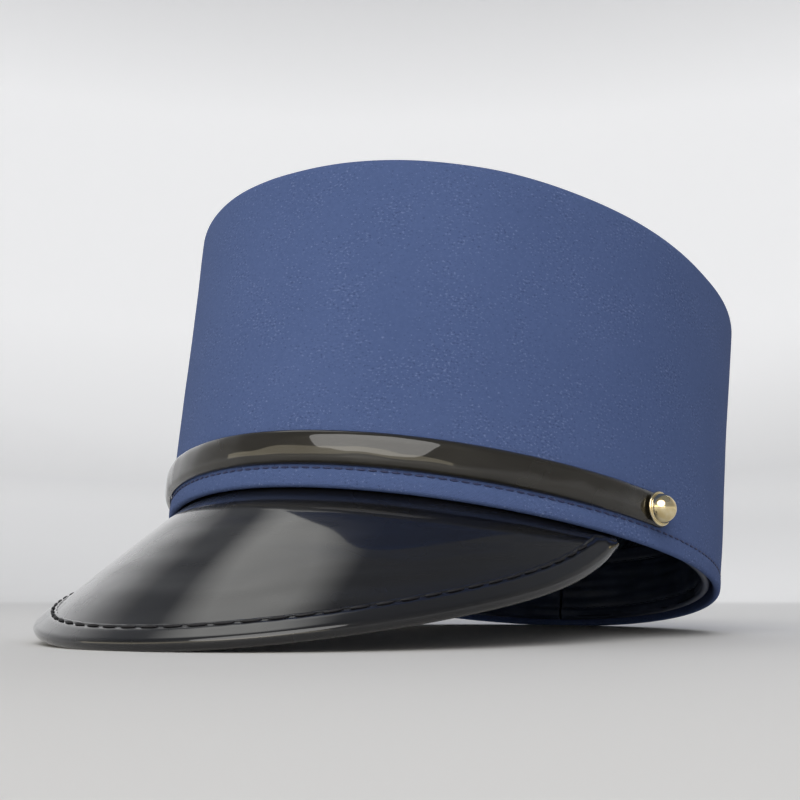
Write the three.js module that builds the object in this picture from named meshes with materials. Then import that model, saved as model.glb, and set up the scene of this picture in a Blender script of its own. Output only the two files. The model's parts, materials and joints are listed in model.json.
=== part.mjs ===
// A doorman's hat: a tall oval crown of navy cloth with a glossy black peak, a strap over
// the front between two dome buttons, a lining and a sweatband. Millimetres, +Z up, front
// towards -Y, the wearer's left towards +X. It stands on its peak's lip and the back of its rim.

import * as THREE from 'three';

// Crown cloth: half sizes of its oval at the rim and at the top
const RIM_HALF_LENGTH = 102;
const RIM_HALF_WIDTH = 89.6;
const TOP_HALF_LENGTH = 105.2;
const TOP_HALF_WIDTH = 89.7;
const CROWN_HEIGHT = 98.5;
const RIM_SQUARENESS = 1.93;
const TOP_SQUARENESS = 2.16;
const BACK_FULLNESS = 0.05;
const CLOTH = 2;
const TOP_EDGE_RADIUS = 3;
const TOP_TURNING = 4.5;
const GAP = 0.3;

// Lining and sweatband
const LINING = 1.2;
const WALL_LINING_FOOT = 16;
const SWEATBAND = 2;
const SWEATBAND_FOOT = 2;
const SWEATBAND_TOP_MEAN = 25.6;
const SWEATBAND_TOP_FALL = 4.8;
const SWEATBAND_JOIN = 180;
const SWEATBAND_JOIN_GAP = 0.6;

// Peak: its board is sewn in behind the hem and slopes down to a bound lip
const PEAK_HALF_ANGLE = 65.3;
const PEAK_REACH = 65.7;
const PEAK_SLOPE_CENTRE = 50;
const PEAK_SLOPE_END = 61.8;
const PEAK_NARROWING = 0.28;
const PEAK_SHOULDER = 0.45;
const PEAK_FORWARD = 0.41;
const PEAK_BOARD = 1.2;
const PEAK_ROOT_INSET = 1.6;
const PEAK_ROOT_DROP = 0.55;
const PEAK_TONGUE = 8;
const BOARD_SHORTEST = 2;
const LARGEST_SKEW = 2.2;
const FACING = 1;
const FACING_SHORTEST = 2.5;
const BINDING = 0.9;
const BINDING_SLACK = 0.25;
const BINDING_WIDTH = 5.5;
const BINDING_FOOT_WIDTH = 6.8;
const BINDING_ROOT = 1.2;
const BINDING_SHORTEST = 1.2;

// Strap and buttons
const STRAP_HEIGHT = 10.7;
const STRAP_WIDTH = 9.6;
const STRAP_THICKNESS = 2;
const STRAP_HALF_ANGLE = 76.8;
const STRAP_END_ANGLE = 3;
const STRAP_TIP = 0.2;
const STRAP_FLATNESS = 0.7;
const BUTTON_ANGLE = 72;
const BUTTON_HEIGHT = 10.4;
const BUTTON_RADIUS = 5;
const BUTTON_BACK_RADIUS = 4.5;
const BUTTON_SKIRT = 0.8;
const BUTTON_RISE = 5.2;

// How finely round shapes are cut, the steps for slopes and leans, and how far the resting
// edges are pressed flat
const OVAL_STEPS = 96;
const PEAK_STEPS = 44;
const STRAP_STEPS = 48;
const ARC_STEPS = 4;
const BUTTON_STEPS = 24;
const REST_PRESS = 0.3;
const HALF_SPAN = 0.5;
const SHARE_STEP = 0.002;
const LARGEST_LEAN = 30;
const LEAN_HALVINGS = 40;

const { degToRad, lerp } = THREE.MathUtils;

// The crown's oval at a height, by the direction in degrees from its front
function ovalOutline(angle, height) {
  const rise = height / CROWN_HEIGHT;
  const power = lerp(RIM_SQUARENESS, TOP_SQUARENESS, rise);
  const halfWidth = lerp(RIM_HALF_WIDTH, TOP_HALF_WIDTH, rise);
  const halfLength = lerp(RIM_HALF_LENGTH, TOP_HALF_LENGTH, rise);
  const across = Math.sin(degToRad(angle));
  const along = -Math.cos(degToRad(angle));
  const shares = Math.abs(across / halfWidth) ** power + Math.abs(along / halfLength) ** power;
  const reach = shares ** (-1 / power);
  const fullness = 1 + (BACK_FULLNESS * reach * along) / halfLength;
  return new THREE.Vector2(reach * across * fullness, reach * along);
}

function ovalNormal(angle, height) {
  const ahead = ovalOutline(angle + HALF_SPAN, height);
  const tangent = ahead.sub(ovalOutline(angle - HALF_SPAN, height)).normalize();
  return new THREE.Vector3(tangent.y, -tangent.x, 0);
}

// A point beside the oval: a positive inset is inside the outer face of the cloth
function besideOval(angle, height, inset) {
  const outline = ovalOutline(angle, height);
  const point = new THREE.Vector3(outline.x, outline.y, height);
  return point.addScaledVector(ovalNormal(angle, height), -inset);
}

function evenly(from, to, steps) {
  return Array.from({ length: steps + 1 }, (_, i) => lerp(from, to, i / steps));
}

// Triangles that close one end of a body, worked out in the plane of that end
function capFaces(outline, offset) {
  const normal = new THREE.Vector3();
  outline.forEach((point, i) => {
    normal.add(new THREE.Vector3().crossVectors(point, outline[(i + 1) % outline.length]));
  });
  const upwards = new THREE.Vector3(0, 0, 1);
  const toPlane = new THREE.Quaternion().setFromUnitVectors(normal.normalize(), upwards);
  const flat = outline.map((point) => {
    const turned = point.clone().applyQuaternion(toPlane);
    return new THREE.Vector2(turned.x, turned.y);
  });
  return THREE.ShapeUtils.triangulateShape(flat, []).map((face) => face.map((i) => i + offset));
}

function signedVolume(points, faces) {
  return faces.reduce((sum, [a, b, c]) => {
    return sum + points[a].dot(new THREE.Vector3().crossVectors(points[b], points[c])) / 6;
  }, 0);
}

// One closed body through outlines that all have their points in the same order.
// A ring joins its last outline to its first; any other body is capped at both ends.
function loft(outlines, isRing = false) {
  const count = outlines[0].length;
  const points = outlines.flat();
  const faces = [];
  const spans = isRing ? outlines.length : outlines.length - 1;
  for (let i = 0; i < spans; i += 1) {
    const near = i * count;
    const far = ((i + 1) % outlines.length) * count;
    for (let j = 0; j < count; j += 1) {
      const next = (j + 1) % count;
      faces.push([near + j, far + j, far + next], [near + j, far + next, near + next]);
    }
  }
  if (!isRing) {
    faces.push(...capFaces(outlines[0], 0));
    faces.push(...capFaces(outlines.at(-1), points.length - count).map(([a, b, c]) => [a, c, b]));
  }
  if (signedVolume(points, faces) < 0) {
    faces.forEach((face) => face.reverse());
  }
  const geometry = new THREE.BufferGeometry().setFromPoints(points);
  geometry.setIndex(faces.flat());
  geometry.computeVertexNormals();
  return geometry;
}

// A wall that follows the oval all the way round. Its section is a list of [inset, height].
function ovalRing(section) {
  const angles = evenly(0, 360, OVAL_STEPS).slice(0, -1);
  return loft(angles.map((angle) => {
    return section.map(([inset, height]) => besideOval(angle, height, inset));
  }), true);
}

// A flat oval panel
function ovalPanel(inset, low, high) {
  const angles = evenly(0, 360, OVAL_STEPS).slice(0, -1);
  return loft([low, high].map((height) => angles.map((angle) => besideOval(angle, height, inset))));
}

// The crown's side: a folded hem, a straight wall and a rounded top edge that turns inwards
function crownWall() {
  const arcHeight = CROWN_HEIGHT - TOP_EDGE_RADIUS;
  const topEdge = evenly(0, 90, ARC_STEPS).map((turn) => [
    TOP_EDGE_RADIUS * (1 - Math.cos(degToRad(turn))),
    arcHeight + TOP_EDGE_RADIUS * Math.sin(degToRad(turn)),
  ]);
  const hem = evenly(0, 180, ARC_STEPS).map((turn) => [
    (CLOTH / 2) * (1 + Math.cos(degToRad(turn))),
    (CLOTH / 2) * (1 - Math.sin(degToRad(turn))),
  ]);
  return ovalRing([
    ...topEdge,
    [TOP_TURNING, CROWN_HEIGHT],
    [TOP_TURNING, CROWN_HEIGHT - CLOTH],
    [TOP_EDGE_RADIUS, CROWN_HEIGHT - CLOTH],
    [CLOTH, arcHeight],
    ...hem,
  ]);
}

function crownTop() {
  return ovalPanel(TOP_TURNING + GAP, CROWN_HEIGHT - CLOTH, CROWN_HEIGHT);
}

function topLining() {
  const high = CROWN_HEIGHT - CLOTH - GAP;
  return ovalPanel(CLOTH + 2 * GAP + LINING, high - LINING, high);
}

function wallLining() {
  const head = CROWN_HEIGHT - CLOTH - LINING - 2 * GAP;
  const outer = CLOTH + GAP;
  return ovalRing([
    [outer, WALL_LINING_FOOT],
    [outer, head],
    [outer + LINING, head],
    [outer + LINING, WALL_LINING_FOOT],
  ]);
}

// A soft strip with rounded long edges, whose two ends meet at the back. It is taller there.
function sweatband() {
  const outer = CLOTH + LINING + 2 * GAP;
  const middle = outer + SWEATBAND / 2;
  const inner = outer + SWEATBAND;
  const edge = SWEATBAND / 2;
  const start = SWEATBAND_JOIN + SWEATBAND_JOIN_GAP / 2;
  const angles = evenly(start, start + 360 - SWEATBAND_JOIN_GAP, OVAL_STEPS);
  return loft(angles.map((angle) => {
    const top = SWEATBAND_TOP_MEAN - SWEATBAND_TOP_FALL * Math.cos(degToRad(angle));
    const section = [
      [outer, SWEATBAND_FOOT + edge],
      [outer, top - edge],
      [middle, top],
      [inner, top - edge],
      [inner, SWEATBAND_FOOT + edge],
      [middle, SWEATBAND_FOOT],
    ];
    return section.map(([inset, height]) => besideOval(angle, height, inset));
  }));
}

// How far down its slope the peak reaches, at a share of its half angle from -1 to 1
function peakReach(share) {
  const square = share * share;
  return PEAK_REACH * (1 - square) * (1 - PEAK_NARROWING * square + PEAK_SHOULDER * square * square);
}

// The point of the peak's lip at that share
function peakLip(share) {
  const angle = share * PEAK_HALF_ANGLE;
  const front = new THREE.Vector3(0, -1, 0);
  const outward = ovalNormal(angle, 0).lerp(front, PEAK_FORWARD).normalize();
  const reach = peakReach(share);
  const slope = degToRad(lerp(PEAK_SLOPE_CENTRE, PEAK_SLOPE_END, share ** 4));
  const lip = besideOval(angle, 0, 0).addScaledVector(outward, reach * Math.cos(slope));
  lip.z = -reach * Math.sin(slope);
  return lip;
}

// The peak's slope at that share: where it starts, which way it runs, and its upper side.
// Skew is how much longer a width across the lip is when it is measured down the slope.
function peakSlope(share) {
  const angle = share * PEAK_HALF_ANGLE;
  const lip = peakLip(share);
  const root = besideOval(angle, 0, PEAK_ROOT_INSET);
  root.z = -PEAK_ROOT_DROP;
  const along = lip.clone().sub(root);
  const length = along.length();
  along.normalize();
  const level = Math.hypot(along.x, along.y);
  const upward = new THREE.Vector3((-along.x * along.z) / level, (-along.y * along.z) / level, level);
  const lipRun = peakLip(share + SHARE_STEP).sub(peakLip(share - SHARE_STEP)).normalize();
  const skew = Math.min(1 / lipRun.cross(along).length(), LARGEST_SKEW);
  return { angle, root, along, upward, length, skew, fall: -along.z / level };
}

// A point of the peak: so far down the slope, and so far above the board's upper face
function onPeak(slope, down, above) {
  return slope.root.clone().addScaledVector(slope.along, down).addScaledVector(slope.upward, above);
}

function boardLength(slope) {
  return slope.length - (BINDING + BINDING_SLACK) * slope.skew;
}

function facingLength(slope) {
  return boardLength(slope) - (BINDING_FOOT_WIDTH + GAP) * slope.skew;
}

// Slopes across the peak, out to where a length on them is still so long, and closer at the ends
function peakSlopes(lengthOf, shortest) {
  let widest = 1;
  while (lengthOf(peakSlope(widest)) < shortest) {
    widest -= SHARE_STEP;
  }
  return evenly(-90, 90, PEAK_STEPS).map((turn) => peakSlope(widest * Math.sin(degToRad(turn))));
}

// The stiff glossy board, with the upright tongue that is sewn in behind the hem
function peakBoard() {
  const outer = CLOTH + GAP;
  const inner = outer + LINING;
  return loft(peakSlopes(boardLength, BOARD_SHORTEST).map((slope) => {
    const length = boardLength(slope);
    const steepness = Math.hypot(1, slope.fall);
    const bendHeight = -PEAK_ROOT_DROP + (outer - PEAK_ROOT_INSET) * slope.fall;
    const creaseHeight = bendHeight + LINING * slope.fall - PEAK_BOARD * steepness;
    return [
      besideOval(slope.angle, PEAK_TONGUE, outer),
      besideOval(slope.angle, bendHeight, outer),
      onPeak(slope, 0, 0),
      onPeak(slope, length, 0),
      onPeak(slope, length, -PEAK_BOARD),
      onPeak(slope, BINDING_ROOT / 2, -PEAK_BOARD),
      besideOval(slope.angle, creaseHeight, inner),
      besideOval(slope.angle, PEAK_TONGUE, inner),
    ];
  }));
}

// The twill panel under the board, as far as the binding
function peakFacing() {
  const top = -PEAK_BOARD - GAP;
  const start = BINDING_ROOT / 2;
  return loft(peakSlopes(facingLength, FACING_SHORTEST).map((slope) => {
    const end = facingLength(slope);
    return [
      onPeak(slope, start, top),
      onPeak(slope, end, top),
      onPeak(slope, end, top - FACING),
      onPeak(slope, start, top - FACING),
    ];
  }));
}

// Where a leaf of the binding starts on its slope, for the leaf's full width
function leafStart(slope, width) {
  const length = boardLength(slope);
  return Math.min(Math.max(length - width * slope.skew, BINDING_ROOT), length - BINDING_SHORTEST);
}

// The folded strip round the lip, which holds the board's edge between its two leaves
function peakBinding() {
  const slotTop = BINDING_SLACK;
  const slotFoot = -PEAK_BOARD - BINDING_SLACK;
  const top = slotTop + BINDING;
  const foot = slotFoot - BINDING;
  const radius = (top - foot) / 2;
  const arc = evenly(90, -90, 2 * ARC_STEPS).map(degToRad);
  return loft(peakSlopes(boardLength, BOARD_SHORTEST).map((slope) => {
    const length = boardLength(slope);
    const start = leafStart(slope, BINDING_WIDTH);
    const footStart = leafStart(slope, BINDING_FOOT_WIDTH);
    const slotEnd = length + BINDING_SLACK * slope.skew;
    const centre = slotEnd + (BINDING - radius) * slope.skew;
    return [
      onPeak(slope, start, top),
      ...arc.map((turn) => {
        const down = centre + radius * slope.skew * Math.cos(turn);
        return onPeak(slope, down, top - radius + radius * Math.sin(turn));
      }),
      onPeak(slope, footStart, foot),
      onPeak(slope, footStart, slotFoot),
      onPeak(slope, slotEnd, slotFoot),
      onPeak(slope, slotEnd, slotTop),
      onPeak(slope, start, slotTop),
    ];
  }));
}

// The pillowed strap over the front. It narrows to a round tip at both ends.
function strap() {
  const straight = STRAP_HALF_ANGLE - STRAP_END_ANGLE;
  const tipTurns = evenly(0, Math.acos(STRAP_TIP), ARC_STEPS).slice(1);
  const right = tipTurns.map((turn) => ({
    angle: straight + STRAP_END_ANGLE * Math.sin(turn),
    size: Math.cos(turn),
  }));
  const left = right.map(({ angle, size }) => ({ angle: -angle, size })).reverse();
  const middle = evenly(-straight, straight, STRAP_STEPS).map((angle) => ({ angle, size: 1 }));
  return loft([...left, ...middle, ...right].map(({ angle, size }) => {
    return evenly(0, 180, 2 * ARC_STEPS).map((turn) => {
      const height = STRAP_HEIGHT + (STRAP_WIDTH / 2) * size * Math.cos(degToRad(turn));
      const proud = GAP + STRAP_THICKNESS * Math.sqrt(size) * Math.sin(degToRad(turn)) ** STRAP_FLATNESS;
      return besideOval(angle, height, -proud);
    });
  }));
}

// A dome on a short skirt, closed by a flat back that lies on the strap
function buttonDome() {
  const dome = evenly(0, 90, 2 * ARC_STEPS).map((turn) => new THREE.Vector2(
    turn === 90 ? 0 : BUTTON_RADIUS * Math.cos(degToRad(turn)),
    BUTTON_SKIRT + (BUTTON_RISE - BUTTON_SKIRT) * Math.sin(degToRad(turn)),
  ));
  return new THREE.LatheGeometry([
    new THREE.Vector2(0, 0),
    new THREE.Vector2(BUTTON_BACK_RADIUS, 0),
    new THREE.Vector2(BUTTON_RADIUS, BUTTON_SKIRT / 2),
    ...dome,
  ], BUTTON_STEPS);
}

function piece(name, geometry, color, roughness, metalness = 0) {
  const mesh = new THREE.Mesh(geometry, new THREE.MeshStandardMaterial({ color, roughness, metalness }));
  mesh.name = name;
  return mesh;
}

function button(name, angle) {
  const mesh = piece(name, buttonDome(), BUTTON_GOLD, 0.15, 1);
  mesh.position.copy(besideOval(angle, BUTTON_HEIGHT, -STRAP_THICKNESS - 2 * GAP));
  mesh.quaternion.setFromUnitVectors(new THREE.Vector3(0, 1, 0), ovalNormal(angle, BUTTON_HEIGHT));
  return mesh;
}

// The hat's lowest height before and behind its middle, when it leans back by an angle
function lowestHeights(meshes, lean) {
  const lowest = { front: Infinity, back: Infinity };
  const turn = new THREE.Euler(-lean, 0, 0);
  const point = new THREE.Vector3();
  meshes.forEach((mesh) => {
    const corners = mesh.geometry.getAttribute('position');
    for (let i = 0; i < corners.count; i += 1) {
      point.fromBufferAttribute(corners, i).applyEuler(turn);
      const side = point.y < 0 ? 'front' : 'back';
      lowest[side] = Math.min(lowest[side], point.z);
    }
  });
  return lowest;
}

// The lean at which the lip and the back of the rim are level, found by halving
function restingLean(meshes) {
  let low = 0;
  let high = degToRad(LARGEST_LEAN);
  for (let i = 0; i < LEAN_HALVINGS; i += 1) {
    const middle = (low + high) / 2;
    const { front, back } = lowestHeights(meshes, middle);
    if (front < back) {
      low = middle;
    } else {
      high = middle;
    }
  }
  return (low + high) / 2;
}

// The edges that the hat rests on are flattened where they meet the table
function pressOntoTable(mesh) {
  const corners = mesh.geometry.getAttribute('position');
  const point = new THREE.Vector3();
  for (let i = 0; i < corners.count; i += 1) {
    mesh.localToWorld(point.fromBufferAttribute(corners, i));
    if (point.z < 0) {
      point.z = 0;
      mesh.worldToLocal(point);
      corners.setXYZ(i, point.x, point.y, point.z);
    }
  }
}

const CLOTH_NAVY = 0x3d4b80;
const PATENT_BLACK = 0x0b0b0e;
const TWILL_GREY = 0x4c4f5b;
const LINING_NAVY = 0x14263a;
const TOP_LINING_BLUE = 0x2a3c50;
const SWEATBAND_NAVY = 0x1a2138;
const BUTTON_GOLD = 0xd8c690;

const wall = piece('crown_wall', crownWall(), CLOTH_NAVY, 0.85);
const binding = piece('peak_binding', peakBinding(), PATENT_BLACK, 0.15);

const hat = new THREE.Group();
hat.add(
  wall,
  piece('crown_top', crownTop(), CLOTH_NAVY, 0.85),
  piece('wall_lining', wallLining(), LINING_NAVY, 0.7),
  piece('top_lining', topLining(), TOP_LINING_BLUE, 0.75),
  piece('sweatband', sweatband(), SWEATBAND_NAVY, 0.6),
  piece('peak', peakBoard(), PATENT_BLACK, 0.12),
  piece('peak_facing', peakFacing(), TWILL_GREY, 0.8),
  binding,
  piece('strap', strap(), PATENT_BLACK, 0.12),
  button('button_left', BUTTON_ANGLE),
  button('button_right', -BUTTON_ANGLE),
);

// The hat leans back to its resting angle, with the middle of its footprint at the origin
const onTable = new THREE.Group();
onTable.add(hat);
hat.rotation.x = -restingLean([wall, binding]);
const standing = new THREE.Box3().setFromObject(onTable, true);
hat.position.y = -(standing.min.y + standing.max.y) / 2;
hat.position.z = -standing.min.z - REST_PRESS;
onTable.updateMatrixWorld(true);
[wall, binding].forEach(pressOntoTable);

export default onTable;
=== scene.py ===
import json
import math

import bmesh
import bpy
from mathutils import Matrix, Vector, noise


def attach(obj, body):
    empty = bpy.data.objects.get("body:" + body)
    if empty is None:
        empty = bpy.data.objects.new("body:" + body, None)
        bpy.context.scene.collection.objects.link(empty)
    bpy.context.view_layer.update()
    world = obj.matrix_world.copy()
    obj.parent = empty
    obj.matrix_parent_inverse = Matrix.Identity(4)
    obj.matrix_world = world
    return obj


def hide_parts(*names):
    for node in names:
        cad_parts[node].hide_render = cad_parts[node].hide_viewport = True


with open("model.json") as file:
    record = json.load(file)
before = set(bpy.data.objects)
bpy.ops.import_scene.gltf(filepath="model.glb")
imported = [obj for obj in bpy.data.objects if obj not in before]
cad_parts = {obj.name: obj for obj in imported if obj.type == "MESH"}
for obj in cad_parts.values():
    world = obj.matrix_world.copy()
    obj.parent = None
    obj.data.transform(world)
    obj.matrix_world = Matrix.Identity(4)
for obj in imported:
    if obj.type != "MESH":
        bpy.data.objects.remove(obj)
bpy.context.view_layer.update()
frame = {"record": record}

# A doorman's hat. Its shapes are worked out in millimetres, level on its rim with the front
# towards -Y, and are then turned back to the lean at which the hat rests.
crown = {
    "rimHalfLength": 102, "rimHalfWidth": 89.6,
    "topHalfLength": 105.2, "topHalfWidth": 89.7, "height": 98.5,
    "rimSquareness": 1.93, "topSquareness": 2.16, "backFullness": 0.05,
    "cloth": 2, "topEdgeRadius": 3, "topTurning": 4.5, "turningRadius": 0.6, "turningDepths": (1.5, 0.9),
    "softness": 0.32, "foldSize": 38, "dimple": 0.07, "dimpleSize": 13, "softFrom": 14,
    "hemStitchHeight": 5.2, "hemGroove": 0.3, "grooveWidth": 0.55, "hemPuff": 0.22, "fineBelow": 10,
    "topStitchInset": 6.6, "seam": 180, "seamRun": 1.75, "seamDepth": 0.4, "seamWidth": 0.45,
    "flapEdge": (6.5, 7.5), "flapPuff": 0.16, "seamReach": 4.6, "seamSteps": 64, "stepsRound": 420,
}

topMount = next(mount for mount in frame["record"]["mounts"] if mount["name"] == "crown_top_face")
upAxis = Vector(topMount["axis"]).normalized()
rimCentre = Vector(topMount["pos_m"]) - upAxis * crown["height"] / 1000
lean = Matrix.Rotation(-math.asin(upAxis.y), 4, "X")
toRest = Matrix.Translation(rimCentre) @ lean @ Matrix.Scale(0.001, 4)


# Small sums

def mix(low, high, share):
    return low + (high - low) * share


def spread(low, high, steps):
    return [mix(low, high, step / steps) for step in range(steps + 1)]


def bump(distance, width):
    return math.exp(-((distance / width) ** 2))


def softStep(low, high, value):
    share = min(max((value - low) / (high - low), 0), 1)
    return share * share * (3 - 2 * share)


def turnPast(angle, middle):
    return (angle - middle + 180) % 360 - 180


def roundWithSeam(sizes):
    # Even steps round the hat, with closer ones near the piece's seam
    reach = sizes["seamReach"]
    even = spread(0, 360, sizes["stepsRound"])
    even = [angle for angle in even if abs(turnPast(angle, sizes["seam"])) > reach]
    near = [sizes["seam"] + turn for turn in spread(-reach, reach, sizes["seamSteps"])]
    return sorted(even + near)


def fromSeam(sizes, angle):
    # The way round from the seam in millimetres: seamRun is the length of one degree there
    return turnPast(angle, sizes["seam"]) * sizes["seamRun"]


def runLengths(points):
    lengths = [0.0]
    for near, far in zip(points, points[1:]):
        lengths.append(lengths[-1] + (far - near).length)
    return lengths


# The crown's oval, by the direction in degrees from the front

def ovalPoint(angle, height):
    rise = height / crown["height"]
    power = mix(crown["rimSquareness"], crown["topSquareness"], rise)
    halfWidth = mix(crown["rimHalfWidth"], crown["topHalfWidth"], rise)
    halfLength = mix(crown["rimHalfLength"], crown["topHalfLength"], rise)
    across = math.sin(math.radians(angle))
    along = -math.cos(math.radians(angle))
    reach = (abs(across / halfWidth) ** power + abs(along / halfLength) ** power) ** (-1 / power)
    fullness = 1 + crown["backFullness"] * reach * along / halfLength
    return Vector((reach * across * fullness, reach * along, height))


def ovalNormal(angle, height):
    run = (ovalPoint(angle + 0.5, height) - ovalPoint(angle - 0.5, height)).normalized()
    return Vector((run.y, -run.x, 0))


def besideOval(angle, height, inset):
    return ovalPoint(angle, height) - ovalNormal(angle, height) * inset     # a positive inset is inside


def towardsMiddle(rim, share, height):
    return Vector((rim.x * share, rim.y * share, height))


# Every modelled skin is a grid of points: equal first and last points close it

def uvByLength(rows):
    across = runLengths(rows[len(rows) // 2])
    column = len(rows[0]) // 2
    along = runLengths([row[column] for row in rows])
    return [[(u, v) for v in across] for u in along]


def uvFlat(rows, stretch=1.0):
    return [[(point.x, point.y * stretch) for point in row] for row in rows]


def makeSkin(name, rows, material, uvRows=None, closedEnds=False):
    uvRows = uvRows or uvByLength(rows)
    skin = bmesh.new()
    layer = skin.loops.layers.uv.new("fabric")
    grid = [[skin.verts.new(point) for point in row] for row in rows]
    for i in range(len(rows) - 1):
        for j in range(len(rows[0]) - 1):
            corners = ((i, j), (i + 1, j), (i + 1, j + 1), (i, j + 1))
            face = skin.faces.new([grid[a][b] for a, b in corners])
            for loop, (a, b) in zip(face.loops, corners):
                loop[layer].uv = uvRows[a][b]
    if closedEnds:
        for index in (0, -1):
            ring = grid[index][:-1] if (rows[index][0] - rows[index][-1]).length < 1e-4 else grid[index]
            face = skin.faces.new(ring if index else ring[::-1])
            for loop in face.loops:
                loop[layer].uv = uvRows[index][ring.index(loop.vert)]
    bmesh.ops.remove_doubles(skin, verts=skin.verts, dist=1e-4)
    if skin.calc_volume(signed=True) < 0:
        bmesh.ops.reverse_faces(skin, faces=skin.faces)
    mesh = bpy.data.meshes.new(name)
    skin.to_mesh(mesh)
    skin.free()
    mesh.transform(toRest)
    for vertex in mesh.vertices:
        vertex.co.z = max(vertex.co.z, 0)     # cloth and leather lie flat where the hat rests
    mesh.polygons.foreach_set("use_smooth", [True] * len(mesh.polygons))
    mesh.materials.append(material)
    return addObject(name, mesh)


def addObject(name, data):
    made = bpy.data.objects.new(name, data)
    bpy.context.scene.collection.objects.link(made)
    return made


def dress(piece, slot, *nodes):
    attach(piece, "root")
    if nodes:
        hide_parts(*nodes)


# Node helpers: an input given as a socket is linked, and as a value is set

def setInputs(tree, node, inputs):
    for key, value in inputs.items():
        if isinstance(value, bpy.types.NodeSocket):
            tree.links.new(value, node.inputs[key])
        else:
            node.inputs[key].default_value = value


def addNode(tree, kind, inputs=None, **settings):
    node = tree.nodes.new(kind)
    for key, value in settings.items():
        setattr(node, key, value)
    setInputs(tree, node, inputs or {})
    return node


def mathNode(tree, operation, first, second=0.0):
    return addNode(tree, "ShaderNodeMath", {0: first, 1: second}, operation=operation).outputs[0]


def mixColour(tree, share, first, second):
    inputs = {0: share, 6: first, 7: second}
    for key in (6, 7):
        if not isinstance(inputs[key], bpy.types.NodeSocket):
            inputs[key] = (*inputs[key], 1)
    return addNode(tree, "ShaderNodeMix", inputs, data_type="RGBA").outputs[2]


def noiseNode(tree, vector, scale, detail, roughness=0.5):
    inputs = {"Vector": vector, "Scale": scale, "Detail": detail, "Roughness": roughness}
    return addNode(tree, "ShaderNodeTexNoise", inputs).outputs["Fac"]


def ramp(tree, value, low, high, toLow=0.0, toHigh=1.0):
    inputs = {"Value": value, "From Min": low, "From Max": high, "To Min": toLow, "To Max": toHigh}
    return addNode(tree, "ShaderNodeMapRange", inputs).outputs[0]


def newGroup(name, inputs, outputs, kind="ShaderNodeTree"):
    tree = bpy.data.node_groups.new(name, kind)
    for label, socketKind, value in inputs:
        socketType = "NodeSocket" + socketKind
        socket = tree.interface.new_socket(name=label, in_out="INPUT", socket_type=socketType)
        if value is not None:
            socket.default_value = value
    for label, socketKind in outputs:
        tree.interface.new_socket(name=label, in_out="OUTPUT", socket_type="NodeSocket" + socketKind)
    return tree, tree.nodes.new("NodeGroupInput").outputs, tree.nodes.new("NodeGroupOutput").inputs


def fillGroup(tree, group, inputs):
    return addNode(tree, "ShaderNodeGroup", inputs, node_tree=group).outputs


# Shader groups that several finishes share

def makeMottle():
    # Soft clouds of two sizes
    tree, given, out = newGroup("soft mottle", (
        ("Vector", "Vector", None), ("Size", "Float", 0.02), ("Fine size", "Float", 0.004),
    ), (("Mask", "Float"), ("Fine", "Float")))
    for size, label, detail in (("Size", "Mask", 3), ("Fine size", "Fine", 4)):
        scale = mathNode(tree, "DIVIDE", 1.0, given[size])
        tree.links.new(noiseNode(tree, given["Vector"], scale, detail, 0.55), out[label])
    return tree


def makeWeave():
    # Slanting ribs that wander a little, with finer threads across them
    acrossTurns = math.tau * 1.7
    heightSpan = 1.3
    tree, given, out = newGroup("woven ribs", (
        ("Vector", "Vector", None), ("Pitch", "Float", 1.0), ("Slant", "Float", 1.0),
        ("Cross", "Float", 0.3), ("Wander", "Float", 0.2),
    ), (("Height", "Float"),))
    split = addNode(tree, "ShaderNodeSeparateXYZ", {0: given["Vector"]}).outputs
    drift = noiseNode(tree, given["Vector"], 0.35, 2)
    drift = mathNode(tree, "MULTIPLY", drift, given["Wander"])
    diagonal = mathNode(tree, "ADD", split[0], mathNode(tree, "MULTIPLY", split[1], given["Slant"]))
    diagonal = mathNode(tree, "ADD", diagonal, drift)
    turns = mathNode(tree, "MULTIPLY", mathNode(tree, "DIVIDE", diagonal, given["Pitch"]), math.tau)
    rib = mathNode(tree, "SINE", turns)
    cross = mathNode(tree, "MULTIPLY", mathNode(tree, "DIVIDE", split[1], given["Pitch"]), acrossTurns)
    cross = mathNode(tree, "MULTIPLY", mathNode(tree, "SINE", cross), given["Cross"])
    height = ramp(tree, mathNode(tree, "ADD", rib, cross), -heightSpan, heightSpan)
    tree.links.new(height, out["Height"])
    return tree


def makeFlecks():
    # Pale slubs, partly the yarn's own paler tone and partly a painted highlight, and dark pits of painted
    # shade between the threads, thicker in some patches than in others
    patchiness = 0.22
    edgeWidth = 0.08
    tree, given, out = newGroup("thread flecks", (
        ("Vector", "Vector", None), ("Size", "Float", 0.5), ("Stretch", "Float", 1.5),
        ("Patch", "Float", 18.0), ("Edge", "Float", 0.6),
    ), (("Light", "Float"), ("Dark", "Float")))
    split = addNode(tree, "ShaderNodeSeparateXYZ", {0: given["Vector"]}).outputs
    squeezed = addNode(tree, "ShaderNodeCombineXYZ", {
        0: mathNode(tree, "DIVIDE", split[0], given["Stretch"]), 1: split[1],
    }).outputs[0]
    fine = noiseNode(tree, squeezed, mathNode(tree, "DIVIDE", 1.0, given["Size"]), 1.5)
    patches = noiseNode(tree, given["Vector"], mathNode(tree, "DIVIDE", 1.0, given["Patch"]), 2.0)
    drift = mathNode(tree, "MULTIPLY", mathNode(tree, "SUBTRACT", patches, 0.5), patchiness)
    above = mathNode(tree, "ADD", given["Edge"], edgeWidth)
    light = ramp(tree, mathNode(tree, "ADD", fine, drift), given["Edge"], above)
    pitEdge = mathNode(tree, "SUBTRACT", 1.0, given["Edge"])
    below = mathNode(tree, "SUBTRACT", pitEdge, edgeWidth)
    dark = ramp(tree, mathNode(tree, "SUBTRACT", fine, drift), below, pitEdge, 1.0, 0.0)
    tree.links.new(light, out["Light"])
    tree.links.new(dark, out["Dark"])
    return tree


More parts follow.
